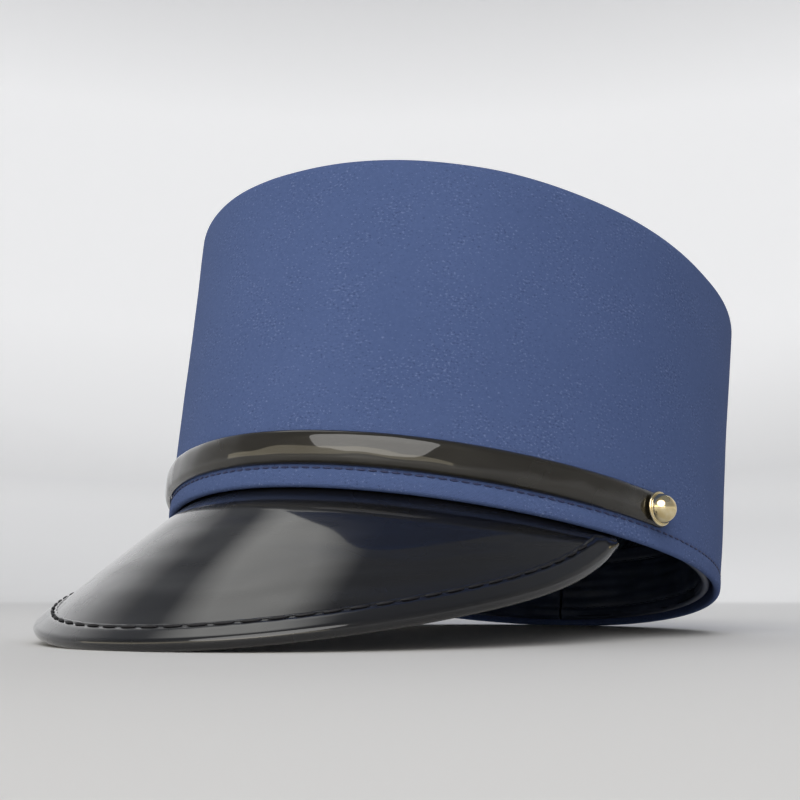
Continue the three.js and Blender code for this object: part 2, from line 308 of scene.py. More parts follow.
mottleGroup = makeMottle()
weaveGroup = makeWeave()
fleckGroup = makeFlecks()


# Finishes. Each look holds its own numbers, and what it gives a shader group has the group's own
# labels. Weaves and flecks follow the piece's UV map in millimetres, and mottles its object coordinates.

cloudSpan = (0.3, 0.7)          # most of a mottle lies between these


def newMaterial(name):
    material = bpy.data.materials.new(name)
    material.use_nodes = True
    tree = material.node_tree
    return material, tree, tree.nodes["Principled BSDF"]


def objectPlace(tree):
    return addNode(tree, "ShaderNodeTexCoord").outputs["Object"]


def fabricPlace(tree):
    return addNode(tree, "ShaderNodeUVMap", uv_map="fabric").outputs[0]


def onObject(tree, group, sizes):
    return fillGroup(tree, group, {"Vector": objectPlace(tree), **sizes})


def onFabric(tree, group, sizes):
    return fillGroup(tree, group, {"Vector": fabricPlace(tree), **sizes})


def bumpNode(tree, height, distance, strength=1.0, normal=None):
    inputs = {"Height": height, "Distance": distance, "Strength": strength}
    if normal:
        inputs["Normal"] = normal
    return addNode(tree, "ShaderNodeBump", inputs).outputs[0]


# The fleck colour is for pale slubs, partly a painted highlight, and the pit colour is painted shade between
# the threads
clothLook = {
    "shade": (0.064, 0.098, 0.222), "light": (0.080, 0.118, 0.258), "fleck": (0.20, 0.25, 0.42),
    "pitShade": (0.026, 0.040, 0.105), "slowShare": 0.45, "fineShare": 0.55, "fleckShare": 0.5,
    "mottle": {"Size": 0.05, "Fine size": 0.0013},
    "weave": {"Pitch": 0.62, "Slant": 0.8, "Cross": 0.5, "Wander": 0.8},
    "flecks": {"Size": 0.6, "Stretch": 1.4, "Patch": 15.0, "Edge": 0.63},
    "ribDepth": 0.00008, "ribStrength": 0.8, "fuzzDepth": 0.0002, "fuzzStrength": 0.7,
    "surface": {
        "Roughness": 0.95, "Sheen Weight": 0.03, "Sheen Roughness": 0.5, "Sheen Tint": (0.45, 0.52, 0.80, 1),
        "Specular IOR Level": 0.1,
    },
}


def navyCloth(name, look):
    material, tree, shader = newMaterial(name)
    mottle = onObject(tree, mottleGroup, look["mottle"])
    weave = onFabric(tree, weaveGroup, look["weave"])
    flecks = onFabric(tree, fleckGroup, look["flecks"])
    slow = ramp(tree, mottle["Mask"], *cloudSpan, 0, look["slowShare"])
    fine = ramp(tree, mottle["Fine"], *cloudSpan, 0, look["fineShare"])
    colour = mixColour(tree, mathNode(tree, "ADD", slow, fine), look["shade"], look["light"])
    # Pale slub flecks carry a painted highlight in part, and dark pit flecks are painted shade between the
    # threads
    for label, tone in (("Light", look["fleck"]), ("Dark", look["pitShade"])):
        colour = mixColour(tree, mathNode(tree, "MULTIPLY", flecks[label], look["fleckShare"]), colour, tone)
    woven = bumpNode(tree, weave["Height"], look["ribDepth"], look["ribStrength"])
    fuzz = bumpNode(tree, mottle["Fine"], look["fuzzDepth"], look["fuzzStrength"], woven)
    setInputs(tree, shader, {"Base Color": colour, "Normal": fuzz, **look["surface"]})
    return material


patentLook = {
    "waveStrength": 0.8, "mottle": {"Size": 0.03, "Fine size": 0.0012}, "grainDepth": 0.000008,
    "grainStrength": 0.4, "roughness": (0.21, 0.42),
    "surface": {"Specular IOR Level": 0.15, "Coat Weight": 1.0, "Coat Roughness": 0.04, "Coat IOR": 1.52},
}
peakPatentLook = {
    **patentLook, "base": (0.004, 0.004, 0.005), "wave": 0.0022, "waveLength": 30, "waveWidth": 10,
}
# The strap's base is a little warm: a painted reflection of warm, olive surroundings in the black lacquer
strapPatentLook = {
    **patentLook, "base": (0.014, 0.012, 0.008), "wave": 0.0024, "waveLength": 19, "waveWidth": 6,
}


def patentLeather(name, look):
    # The lacquer's slow waves run along the strap and the peak
    material, tree, shader = newMaterial(name)
    split = addNode(tree, "ShaderNodeSeparateXYZ", {0: fabricPlace(tree)}).outputs
    stretched = addNode(tree, "ShaderNodeCombineXYZ", {
        0: mathNode(tree, "DIVIDE", split[0], look["waveLength"]),
        1: mathNode(tree, "DIVIDE", split[1], look["waveWidth"]),
    }).outputs[0]
    grain = onObject(tree, mottleGroup, look["mottle"])
    wavy = bumpNode(tree, noiseNode(tree, stretched, 1.0, 0.0), look["wave"], look["waveStrength"])
    puckered = bumpNode(tree, grain["Fine"], look["grainDepth"], look["grainStrength"], wavy)
    smear = ramp(tree, grain["Mask"], *cloudSpan, *look["roughness"])
    setInputs(tree, shader, {
        "Base Color": (*look["base"], 1), "Roughness": smear, "Normal": puckered, **look["surface"],
    })
    return material


# Each twill's valley colour is painted shade in the valleys between its ribs
twillLook = {
    "mottle": {"Size": 0.018, "Fine size": 0.0011}, "dullSpan": (0.35, 0.7), "dullShare": 0.45,
    "ribStrength": 0.9, "fuzzDepth": 0.00008, "fuzzStrength": 0.6,
    "surface": {"Sheen Roughness": 0.4, "Specular IOR Level": 0.35},
}
# The lining's colours are lighter than its own: painted light that stands in for the light which doesn't
# reach inside the hat
liningLook = {
    **twillLook, "valley": (0.007, 0.016, 0.030), "rib": (0.050, 0.085, 0.118), "ribDepth": 0.00035,
    "weave": {"Pitch": 2.5, "Slant": 1.25, "Cross": 0.25, "Wander": 1.3}, "roughness": 0.6, "sheen": 0.1,
}
topLiningLook = {
    **twillLook, "valley": (0.022, 0.042, 0.066), "rib": (0.034, 0.058, 0.085), "ribDepth": 0.00006,
    "weave": {"Pitch": 0.6, "Slant": 0.0, "Cross": 0.8, "Wander": 0.6}, "roughness": 0.75, "sheen": 0.15,
}
facingLook = {
    **twillLook, "valley": (0.045, 0.048, 0.062), "rib": (0.088, 0.090, 0.112), "ribDepth": 0.0002,
    "weave": {"Pitch": 1.8, "Slant": 0.4, "Cross": 0.2, "Wander": 1.1}, "roughness": 0.7, "sheen": 0.15,
}


def ribbedTwill(name, look):
    material, tree, shader = newMaterial(name)
    mottle = onObject(tree, mottleGroup, look["mottle"])
    weave = onFabric(tree, weaveGroup, look["weave"])
    # The colour follows the rib height, darker in the valleys as painted shade; random dull patches take the
    # valley colour too
    colour = mixColour(tree, weave["Height"], look["valley"], look["rib"])
    dull = ramp(tree, mottle["Mask"], *look["dullSpan"], 0, look["dullShare"])
    colour = mixColour(tree, dull, colour, look["valley"])
    ribs = bumpNode(tree, weave["Height"], look["ribDepth"], look["ribStrength"])
    fuzz = bumpNode(tree, mottle["Fine"], look["fuzzDepth"], look["fuzzStrength"], ribs)
    setInputs(tree, shader, {
        "Base Color": colour, "Roughness": look["roughness"], "Normal": fuzz, "Sheen Weight": look["sheen"],
        **look["surface"],
    })
    return material


# Both satin colours are lighter than the band's own: painted light that stands in for the light which
# doesn't reach inside the hat
satinLook = {
    "shade": (0.018, 0.027, 0.058), "light": (0.050, 0.068, 0.120), "paintedSheen": (0.13, 0.155, 0.22),
    "paintedSheenShare": 0.25, "mottle": {"Size": 0.014, "Fine size": 0.0009},
    "flecks": {"Size": 0.9, "Stretch": 5.0, "Patch": 26.0, "Edge": 0.6},
    "fuzzDepth": 0.00007, "fuzzStrength": 0.6, "roughness": (0.37, 0.55), "specular": 0.5,
}


def softSatin(name, look):
    material, tree, shader = newMaterial(name)
    mottle = onObject(tree, mottleGroup, look["mottle"])
    # Pale streaks stretched along the band are painted sheen, the light that the satin catches
    paintedSheen = onFabric(tree, fleckGroup, look["flecks"])
    colour = mixColour(tree, ramp(tree, mottle["Mask"], *cloudSpan), look["shade"], look["light"])
    share = mathNode(tree, "MULTIPLY", paintedSheen["Light"], look["paintedSheenShare"])
    setInputs(tree, shader, {
        "Base Color": mixColour(tree, share, colour, look["paintedSheen"]),
        "Roughness": ramp(tree, mottle["Mask"], *cloudSpan, *look["roughness"]),
        "Normal": bumpNode(tree, mottle["Fine"], look["fuzzDepth"], look["fuzzStrength"]),
        "Specular IOR Level": look["specular"],
    })
    return material


goldLook = {
    "deep": (0.78, 0.62, 0.32), "pale": (0.90, 0.80, 0.55), "paleSpan": (0.35, 0.7),
    "mottle": {"Size": 0.003, "Fine size": 0.0005}, "roughness": (0.07, 0.2),
    "dentDepth": 0.00006, "dentStrength": 0.5,
}


def paleGold(name, look):
    material, tree, shader = newMaterial(name)
    mottle = onObject(tree, mottleGroup, look["mottle"])
    share = ramp(tree, mottle["Mask"], *look["paleSpan"])
    setInputs(tree, shader, {
        "Base Color": mixColour(tree, share, look["deep"], look["pale"]), "Metallic": 1.0,
        "Roughness": ramp(tree, mottle["Fine"], *cloudSpan, *look["roughness"]),
        "Normal": bumpNode(tree, mottle["Mask"], look["dentDepth"], look["dentStrength"]),
    })
    return material


threadLook = {
    "mottle": {"Size": 0.004, "Fine size": 0.0004}, "shadeSpan": (0.35, 0.65), "shade": 0.6,
    "twistDepth": 0.00006, "twistStrength": 0.7, "surface": {"Roughness": 0.6, "Specular IOR Level": 0.4},
}


def threadFinish(name, colour):
    material, tree, shader = newMaterial(name)
    look = threadLook
    mottle = onObject(tree, mottleGroup, look["mottle"])
    share = ramp(tree, mottle["Fine"], *look["shadeSpan"])
    setInputs(tree, shader, {
        "Base Color": mixColour(tree, share, [part * look["shade"] for part in colour], colour),
        "Normal": bumpNode(tree, mottle["Fine"], look["twistDepth"], look["twistStrength"]),
        **look["surface"],
    })
    return material


finish = {
    "cloth": navyCloth("navy cloth", clothLook),
    "peakPatent": patentLeather("black patent", peakPatentLook),
    "strapPatent": patentLeather("strap patent", strapPatentLook),
    "lining": ribbedTwill("lining twill", liningLook),
    "topLining": ribbedTwill("top lining cloth", topLiningLook),
    "facing": ribbedTwill("facing twill", facingLook),
    "sweatband": softSatin("sweatband satin", satinLook),
    "gold": paleGold("pale gold", goldLook),
    "clothThread": threadFinish("cloth thread", (0.040, 0.052, 0.140)),
    "peakThread": threadFinish("peak thread", (0.012, 0.012, 0.016)),
    "liningThread": threadFinish("lining thread", (0.040, 0.052, 0.088)),
}
print("finishes made")


# Crown wall: rolled hem, soft wall, rounded top edge, and a turning that meets the top panel

def clothSwell(point, angle, height):
    soft = noise.noise(point / crown["foldSize"]) * crown["softness"]
    soft += noise.noise(point / crown["dimpleSize"]) * crown["dimple"]
    stitchLine = crown["hemStitchHeight"]
    swell = soft * softStep(0, crown["softFrom"], height)
    swell -= crown["hemGroove"] * bump(height - stitchLine, crown["grooveWidth"])
    if height < stitchLine:
        swell += crown["hemPuff"] * math.sin(math.pi * height / stitchLine)
    seam = fromSeam(crown, angle)
    near, far = crown["flapEdge"]
    flaps = softStep(-far, -near, seam) - softStep(near, far, seam)
    swell += crown["flapPuff"] * flaps - crown["seamDepth"] * bump(seam, crown["seamWidth"])
    return swell


def roundedTurn(inset, height, radius, start, end, steps):
    # Points of a rounded edge round a centre, each with the way its surface faces
    points = []
    for turn in spread(start, end, steps):
        angle = math.radians(turn)
        points.append((inset - radius * math.cos(angle), height + radius * math.sin(angle), turn))
    return points


def wallSection():
    # Each point is an inset from the outline, a height, and the way that the cloth faces there
    height = crown["height"]
    radius = crown["topEdgeRadius"]
    edge = crown["topTurning"]
    corner = crown["turningRadius"]
    fine = crown["fineBelow"]
    half = crown["cloth"] / 2
    section = [(edge, height - depth, 180) for depth in crown["turningDepths"]]
    section += roundedTurn(edge - corner, height - corner, corner, 180, 90, 5)
    section += roundedTurn(radius, height - radius, radius, 90, 0, 14)
    section += [(0, z, 0) for z in spread(height - radius, fine, 34)[1:]]
    section += [(0, z, 0) for z in spread(fine, half, 24)[1:]]
    section += roundedTurn(half, half, half, 0, -180, 14)[1:]
    section += [(2 * half, z, 180) for z in spread(half, height - radius, 10)[1:]]
    section += [(radius, height - 2 * half, -90), (edge, height - 2 * half, -90), section[0]]
    return section


def makeCrownWall():
    section = wallSection()
    rows = []
    for angle in roundWithSeam(crown):
        row = []
        for inset, height, turn in section:
            point = besideOval(angle, height, inset)
            if abs(turn) <= 90:
                swell = clothSwell(point, angle, height)
                outward = swell * math.cos(math.radians(turn))
                upward = swell * math.sin(math.radians(turn))
                point = besideOval(angle, height + upward, inset - outward)
            row.append(point)
        rows.append(row)
    piece = makeSkin("crown_wall_cloth", rows, finish["cloth"])
    dress(piece, "navy_cloth", "crown_wall")


topPanel = {
    "clearance": 0.05, "fullness": 0.5, "softness": 0.3, "foldSize": 30, "rollDepth": 0.9, "rollWidth": 1.4,
    "grooveDepth": 0.28, "grooveWidth": 0.55, "stepsRound": 300,
    "shares": [0] + spread(0.06, 0.94, 24) + spread(0.945, 1, 22), "underShares": (1, 0.6, 0),
}


def panelRise(share, point, across):
    # The panel is a little full, rolls down into its seam and dips under its stitches
    fromEdge = (1 - share) * across
    stitchLine = crown["topStitchInset"] - crown["topTurning"]
    roll = topPanel["rollDepth"] * (1 - softStep(0, topPanel["rollWidth"], fromEdge)) ** 2
    stitched = topPanel["grooveDepth"] * bump(fromEdge - stitchLine, topPanel["grooveWidth"])
    soft = noise.noise(point / topPanel["foldSize"]) * topPanel["softness"] * (1 - share ** 4)
    return topPanel["fullness"] * (1 - share * share) + soft - roll - stitched


def makeCrownTop():
    low = crown["height"] - crown["cloth"]
    rows = []
    for angle in spread(0, 360, topPanel["stepsRound"]):
        rim = besideOval(angle, crown["height"], crown["topTurning"] + topPanel["clearance"])
        across = Vector((rim.x, rim.y)).length
        row = []
        for share in topPanel["shares"]:
            point = towardsMiddle(rim, share, crown["height"])
            row.append(point + Vector((0, 0, panelRise(share, point, across))))
        row += [towardsMiddle(rim, share, low) for share in topPanel["underShares"]]
        rows.append(row)
    piece = makeSkin("crown_top_cloth", rows, finish["cloth"], uvFlat(rows))
    dress(piece, "navy_cloth", "crown_top")


makeCrownWall()
makeCrownTop()
print("crown made")


# Linings and sweatband

lining = {
    "outer": 2.3, "thick": 1.2, "foot": 16, "middle": 55, "head": 95.3, "softness": 0.35, "foldSize": 24,
    "seam": 164, "seamRun": 1.72, "seamDepth": 0.9, "seamWidth": 0.65, "seamReach": 1.6, "seamSteps": 32,
    "stepsRound": 300, "stepsUp": 46,
}

topLining = {
    "low": 95.0, "high": 96.2, "clearance": 0.3, "sag": 0.35, "softness": 0.25, "foldSize": 26,
    "edgeLift": 0.4, "edgeFrom": 0.97, "stepsRound": 240,
    "shares": [0] + spread(0.08, 0.94, 20) + spread(0.955, 1, 5), "overShares": (1, 0.5, 0),
}

band = {
    "outer": 3.8, "thick": 2, "foot": 2, "topMean": 25.6, "topFall": 4.8, "topReadAt": 20, "join": 180,
    "gapLow": 0.25, "gapHigh": 1.3, "gapHeight": 30, "gapRadius": 100,
    "wrinkle": 0.6, "longCrease": (26, 26, 3.4), "pucker": 1.2, "uprightCrease": (8, 8, 10),
    "uprightShift": (9, 4, 2), "footCalm": 4, "topCalm": 0.6, "topCalmFrom": 8, "topCalmTo": 5,
    "rowBelowTop": 5.6, "rowAboveFoot": 4.6, "rowHighDepth": 0.55, "rowLowDepth": 0.4, "rowWidth": 0.6,
    "bead": 0.35, "beadBelowTop": 1.4, "beadWidth": 1.1, "flare": 0.55, "backFoot": 4,
    "stepsRound": 360, "stepsUp": 40,
}


def makeWallLining():
    inset = lining["outer"] + lining["thick"]
    rows = []
    for angle in roundWithSeam(lining):
        groove = lining["seamDepth"] * bump(fromSeam(lining, angle), lining["seamWidth"])
        row = []
        for height in spread(lining["foot"], lining["head"], lining["stepsUp"]):
            point = besideOval(angle, height, inset)
            bulge = abs(noise.noise(point / lining["foldSize"])) * lining["softness"] - groove
            row.append(besideOval(angle, height, inset + bulge))
        for height in (lining["head"], lining["middle"], lining["foot"]):
            row.append(besideOval(angle, height, lining["outer"]))
        rows.append(row + [row[0]])
    piece = makeSkin("wall_lining_twill", rows, finish["lining"])
    dress(piece, "lining_twill", "wall_lining")


def makeTopLining():
    inset = lining["outer"] + lining["thick"] + topLining["clearance"]
    rows = []
    for angle in spread(0, 360, topLining["stepsRound"]):
        rim = besideOval(angle, topLining["high"], inset)
        row = []
        for share in topLining["shares"]:
            point = towardsMiddle(rim, share, topLining["low"])
            sag = topLining["sag"] * (1 - share * share)
            sag += noise.noise(point / topLining["foldSize"]) * topLining["softness"] * (1 - share ** 6)
            lift = topLining["edgeLift"] * softStep(topLining["edgeFrom"], 1, share)
            row.append(point - Vector((0, 0, sag - lift)))
        row += [towardsMiddle(rim, share, topLining["high"]) for share in topLining["overShares"]]
        rows.append(row)
    piece = makeSkin("top_lining_cloth", rows, finish["topLining"], uvFlat(rows))
    dress(piece, "top_lining_cloth", "top_lining")


def bandTop(angle):
    return band["topMean"] - band["topFall"] * math.cos(math.radians(angle))


def bandAngle(share, height):
    # The band's two ends part a little towards the top
    gap = mix(band["gapLow"], band["gapHigh"], height / band["gapHeight"])
    gap = math.degrees(gap / band["gapRadius"])
    return mix(band["join"] + gap, band["join"] + 360 - gap, share)


def bandCrease(point, height, sizes, shift=(0, 0, 0)):
    long, wide, high = sizes
    return noise.noise(Vector((point.x / long, point.y / wide, height / high)) + Vector(shift))


def bandFace(angle, height):
    # How far the inner face stands in from a plain band, with its rows of stitching and creases
    top = bandTop(angle)
    point = besideOval(angle, height, band["outer"])
    long = bandCrease(point, height, band["longCrease"])
    upright = bandCrease(point, height, band["uprightCrease"], band["uprightShift"])
    crease = (long + band["pucker"] * upright) * band["wrinkle"]
    crease *= softStep(0, band["footCalm"], height - band["foot"])
    crease *= 1 - band["topCalm"] * softStep(top - band["topCalmFrom"], top - band["topCalmTo"], height)
    rowHigh = band["rowHighDepth"] * bump(height - (top - band["rowBelowTop"]), band["rowWidth"])
    rowLow = band["rowLowDepth"] * bump(height - (band["foot"] + band["rowAboveFoot"]), band["rowWidth"])
    bead = band["bead"] * bump(height - (top - band["beadBelowTop"]), band["beadWidth"])
    return crease + bead - rowHigh - rowLow


def makeSweatband():
    half = band["thick"] / 2
    face = band["outer"] + band["thick"]
    rows = []
    for share in spread(0, 1, band["stepsRound"]):
        places = []          # heights with their insets, up the face, over the top and down the back
        shoulder = bandTop(bandAngle(share, band["topReadAt"])) - half
        for height in spread(band["foot"] + half, shoulder, band["stepsUp"]):
            places.append((height, face + bandFace(bandAngle(share, height), height)))
        for turn in spread(0, 180, 8)[1:]:
            angle = math.radians(turn)
            bead = band["bead"] * bump(half, band["beadWidth"]) * (1 + math.cos(angle)) / 2
            inset = band["outer"] + half + half * math.cos(angle) + bead
            places.append((shoulder + half * math.sin(angle), inset))
        for height in spread(shoulder, band["foot"] + band["backFoot"], 4)[1:]:
            places.append((height, band["outer"]))
        for turn in spread(180, 360, 10):
            angle = math.radians(turn)
            flare = band["flare"] * (1 - math.cos(angle)) / 2
            inset = band["outer"] + half + half * math.cos(angle) - flare
            places.append((band["foot"] + half + half * math.sin(angle), inset))
        row = [besideOval(bandAngle(share, height), height, inset) for height, inset in places]
        rows.append(row + [row[0]])
    piece = makeSkin("sweatband_satin", rows, finish["sweatband"], closedEnds=True)
    dress(piece, "sweatband_cloth", "sweatband")


makeWallLining()
makeTopLining()
makeSweatband()
print("lining and sweatband made")


# Peak: board, facing and binding. Widths on it are measured across the lip.

peak = {
    "halfAngle": 65.3, "reach": 65.7, "slopeCentre": 50, "slopeEnd": 61.8, "narrowing": 0.28,
    "shoulder": 0.45, "forward": 0.41, "board": 1.2, "rootInset": 1.6, "rootDrop": 0.55, "tongue": 8,
    "clearance": 0.3, "underStart": 0.6, "shortest": 2, "largestSkew": 2.2, "steps": 180,
    "belly": 0.5, "bellySoftness": 0.22, "bellyFold": 21,
}

facing = {
    "thick": 1.0, "topGap": 0.05, "shortest": 2.5, "underLeaf": 0.1, "softness": 0.16, "foldSize": 17,
    "edgeEase": 0.35, "edgeShare": 0.03, "uvStretch": 1.5,
}

binding = {
    "thick": 0.9, "slack": 0.25, "slotGap": 0.06, "leafTop": 6.2, "leafFoot": 6.8, "root": 1.2,
    "shortest": 1.2, "pinch": 0.35, "pinchRun": 9, "edgeTop": 0.62, "edgeFoot": 0.72, "edgeStart": 0.05,
    "edgeRound": 0.12, "edgeRoundTop": 0.3, "edgeRoundFoot": 0.35, "fullFrom": 0.5,
    "stitchTop": 5.2, "stitchFoot": 5.9, "stitchPitch": 6.2, "stitchEnd": 6,
    "grooveTop": 0.3, "grooveFoot": 0.28, "grooveWidth": 0.42,
    "pucker": 0.16, "puckerWidth": 1.2, "edgeWaveTop": 0.18, "edgeWaveFoot": 0.15,
}


def peakLip(share):
    angle = share * peak["halfAngle"]
    outward = ovalNormal(angle, 0).lerp(Vector((0, -1, 0)), peak["forward"]).normalized()
    square = share * share
    fullness = 1 - peak["narrowing"] * square + peak["shoulder"] * square * square
    reach = peak["reach"] * (1 - square) * fullness
    slope = math.radians(mix(peak["slopeCentre"], peak["slopeEnd"], share ** 4))
    lip = besideOval(angle, 0, 0) + outward * reach * math.cos(slope)
    lip.z = -reach * math.sin(slope)
    return lip


def peakSlope(share):
    angle = share * peak["halfAngle"]
    root = besideOval(angle, 0, peak["rootInset"])
    root.z = -peak["rootDrop"]
    along = peakLip(share) - root
    length = along.length
    along.normalize()
    level = math.hypot(along.x, along.y)
    upward = Vector((-along.x * along.z / level, -along.y * along.z / level, level))
    lipRun = (peakLip(share + 0.002) - peakLip(share - 0.002)).normalized()
    skew = min(1 / lipRun.cross(along).length, peak["largestSkew"])
    return {
        "share": share, "angle": angle, "root": root, "along": along, "upward": upward, "length": length,
        "skew": skew, "fall": -along.z / level,
        "board": length - (binding["thick"] + binding["slack"]) * skew,
    }


def onPeak(slope, down, above):
    return slope["root"] + slope["along"] * down + slope["upward"] * above


def boardLength(slope):
    return slope["board"]


def peakSlopes(shortest, lengthOf=boardLength):
    # Slopes from end to end of the peak, as far out as a piece on it keeps its shortest length
    widest = 1
    while lengthOf(peakSlope(widest)) < shortest:
        widest -= 0.002
    return [peakSlope(widest * math.sin(math.radians(turn))) for turn in spread(-90, 90, peak["steps"])]


def boardBelly(slope, share):
    point = onPeak(slope, share * slope["board"], 0)
    soft = noise.noise(point / peak["bellyFold"]) * peak["bellySoftness"]
    return (peak["belly"] + soft) * 4 * share * (1 - share)


def makePeakBoard():
    # The board hangs on a tongue inside the hem and bends there into its slope
    outer = crown["cloth"] + peak["clearance"]
    rows = []
    for slope in peakSlopes(peak["shortest"]):
        steepness = math.hypot(1, slope["fall"])
        bend = -peak["rootDrop"] + (outer - peak["rootInset"]) * slope["fall"]
        crease = bend + peak["board"] * slope["fall"] - peak["board"] * steepness
        row = [besideOval(slope["angle"], z, outer) for z in (peak["tongue"], bend)]
        for share in spread(0, 1, 30):
            row.append(onPeak(slope, share * slope["board"], boardBelly(slope, share)))
        row.append(onPeak(slope, slope["board"], -peak["board"] / 2))
        for share in spread(0, 1, 6):
            row.append(onPeak(slope, mix(slope["board"], peak["underStart"], share), -peak["board"]))
        row += [besideOval(slope["angle"], z, outer + peak["board"]) for z in (crease, peak["tongue"])]
        rows.append(row + [row[0]])
    piece = makeSkin("peak_board_patent", rows, finish["peakPatent"], closedEnds=True)
    dress(piece, "black_patent", "peak")


def facingLength(slope):
    return slope["board"] - (binding["leafFoot"] - facing["underLeaf"]) * slope["skew"]


def makePeakFacing():
    top = -peak["board"] - facing["topGap"]
    foot = -peak["board"] - peak["clearance"] - facing["thick"]
    rows = []
    for slope in peakSlopes(facing["shortest"], facingLength):
        end = facingLength(slope)
        row = [onPeak(slope, mix(peak["underStart"], end, share), top) for share in (0, 0.5, 1)]
        for share in spread(1, 0, 24):
            down = mix(peak["underStart"], end, share)
            point = onPeak(slope, down, foot)
            soft = noise.noise(point / facing["foldSize"]) * facing["softness"] * 4 * share * (1 - share)
            fromEdge = min(share, 1 - share)
            eased = facing["edgeEase"] * (1 - softStep(0, facing["edgeShare"], fromEdge))
            row.append(onPeak(slope, down, foot + eased + soft))
        rows.append(row + [row[0]])
    uvRows = uvFlat(rows, facing["uvStretch"])
    piece = makeSkin("peak_facing_twill", rows, finish["facing"], uvRows, closedEnds=True)
    dress(piece, "facing_twill", "peak_facing")


def leafStart(slope, width):
    start = max(slope["board"] - width * slope["skew"], binding["root"])
    return min(start, slope["board"] - binding["shortest"])


def makeBinding():
    slotTop = binding["slotGap"]
    slotFoot = -peak["board"] - binding["slotGap"]
    slopes = peakSlopes(peak["shortest"])
    lipLengths = runLengths([peakLip(slope["share"]) for slope in slopes])
    rows = []
    for slope, run in zip(slopes, lipLengths):
        skew = slope["skew"]
        # The binding is pinched thin where its ends go under the rim
        fromEnd = min(run, lipLengths[-1] - run)
        full = mix(binding["pinch"], 1, softStep(0, binding["pinchRun"], fromEnd))
        top = (binding["slack"] + binding["thick"]) * full
        foot = -peak["board"] - top
        radius = (top - foot) / 2
        wave = math.cos(math.tau * (run - lipLengths[-1] / 2) / binding["stitchPitch"])
        lift = binding["pucker"] * (1 - wave) / 2
        start = leafStart(slope, binding["leafTop"] + binding["edgeWaveTop"] * wave)
        footStart = leafStart(slope, binding["leafFoot"] + binding["edgeWaveFoot"] * wave)
        end = slope["board"] + binding["slack"] * skew
        centre = end + (binding["thick"] - radius) * skew
        row = [
            onPeak(slope, start, slotTop + lift),
            onPeak(slope, start - binding["edgeRound"], slotTop + binding["edgeRoundTop"] + lift),
        ]
        for share in spread(0, 1, 14):
            down = mix(start + binding["edgeStart"], centre, share)
            across = (down - start) / skew
            stitchLine = binding["leafTop"] - binding["stitchTop"]
            groove = binding["grooveTop"] * bump(across - stitchLine, binding["grooveWidth"])
            rise = mix(binding["edgeTop"] * full, top, softStep(0, binding["fullFrom"], share))
            rise += lift * bump(across, binding["puckerWidth"])
            row.append(onPeak(slope, down, rise - groove))
        for turn in spread(90, -90, 16)[1:-1]:
            angle = math.radians(turn)
            out = radius * math.cos(angle)
            row.append(onPeak(slope, centre + out * skew, top - radius + radius * math.sin(angle)))
        for share in spread(1, 0, 12):
            down = mix(footStart + binding["edgeStart"], centre, share)
            across = (down - footStart) / skew
            stitchLine = binding["leafFoot"] - binding["stitchFoot"]
            groove = binding["grooveFoot"] * bump(across - stitchLine, binding["grooveWidth"])
            edge = -peak["board"] - binding["edgeFoot"] * full
            drop = mix(edge, foot, softStep(0, binding["fullFrom"], share))
            drop -= lift * bump(across, binding["puckerWidth"])
            row.append(onPeak(slope, down, drop + groove))
        row += [
            onPeak(slope, footStart - binding["edgeRound"], slotFoot - binding["edgeRoundFoot"]),
            onPeak(slope, footStart, slotFoot), onPeak(slope, end, slotFoot), onPeak(slope, end, slotTop),
        ]
        rows.append(row + [row[0]])
    piece = makeSkin("peak_binding_patent", rows, finish["peakPatent"], closedEnds=True)
    dress(piece, "black_patent", "peak_binding")


makePeakBoard()
makePeakFacing()
makeBinding()
print("peak made")


# Strap and buttons

strap = {
    "height": 10.7, "width": 9.6, "thick": 2, "gap": 0.3, "halfAngle": 76.8, "endAngle": 3, "tip": 0.2,
    "flatness": 5, "edgeThin": 0.18, "wave": 0.2, "waveSize": 7.5, "stepsLong": 230, "stepsAcross": 30,
}

button = {
    "angle": 72, "height": 10.4, "proud": 2.6, "segments": 72,
    "profile": ((0, 0), (4.5, 0), (4.9, 0.2), (5.0, 0.5), (4.88, 0.8), (4.6, 0.92), (4.42, 0.8)),
    "domeRadius": 4.3, "domeFoot": 0.75, "domeRise": 4.4, "domeSteps": 18,
}


def strapSections():
    # Places along the strap in degrees, each with the strap's size there: its ends are rounded
    straight = strap["halfAngle"] - strap["endAngle"]
    ends = []
    for turn in spread(0, math.acos(strap["tip"]), 12)[1:]:
        ends.append((straight + strap["endAngle"] * math.sin(turn), math.cos(turn)))
    middle = [(angle, 1.0) for angle in spread(-straight, straight, strap["stepsLong"])]
    return [(-angle, size) for angle, size in reversed(ends)] + middle + ends


def makeStrap():
    rows = []
    for angle, size in strapSections():
        half = strap["width"] / 2 * size
        row = []
        for turn in spread(-90, 90, strap["stepsAcross"]):
            across = math.sin(math.radians(turn))
            height = strap["height"] + half * across
            swell = (1 - abs(across) ** strap["flatness"]) ** 0.5 if abs(across) < 0.9999 else 0
            point = besideOval(angle, height, -strap["thick"] / 2)
            wave = strap["wave"] * noise.noise(point / strap["waveSize"])
            body = strap["thick"] * (1 - strap["edgeThin"] * across * across) + wave
            row.append(besideOval(angle, height, -(strap["gap"] + body * swell * math.sqrt(size))))
        for across in (0.5, 0, -0.5):
            row.append(besideOval(angle, strap["height"] + half * across, -strap["gap"]))
        rows.append(row + [row[0]])
    piece = makeSkin("strap_patent", rows, finish["strapPatent"], closedEnds=True)
    dress(piece, "black_patent", "strap")


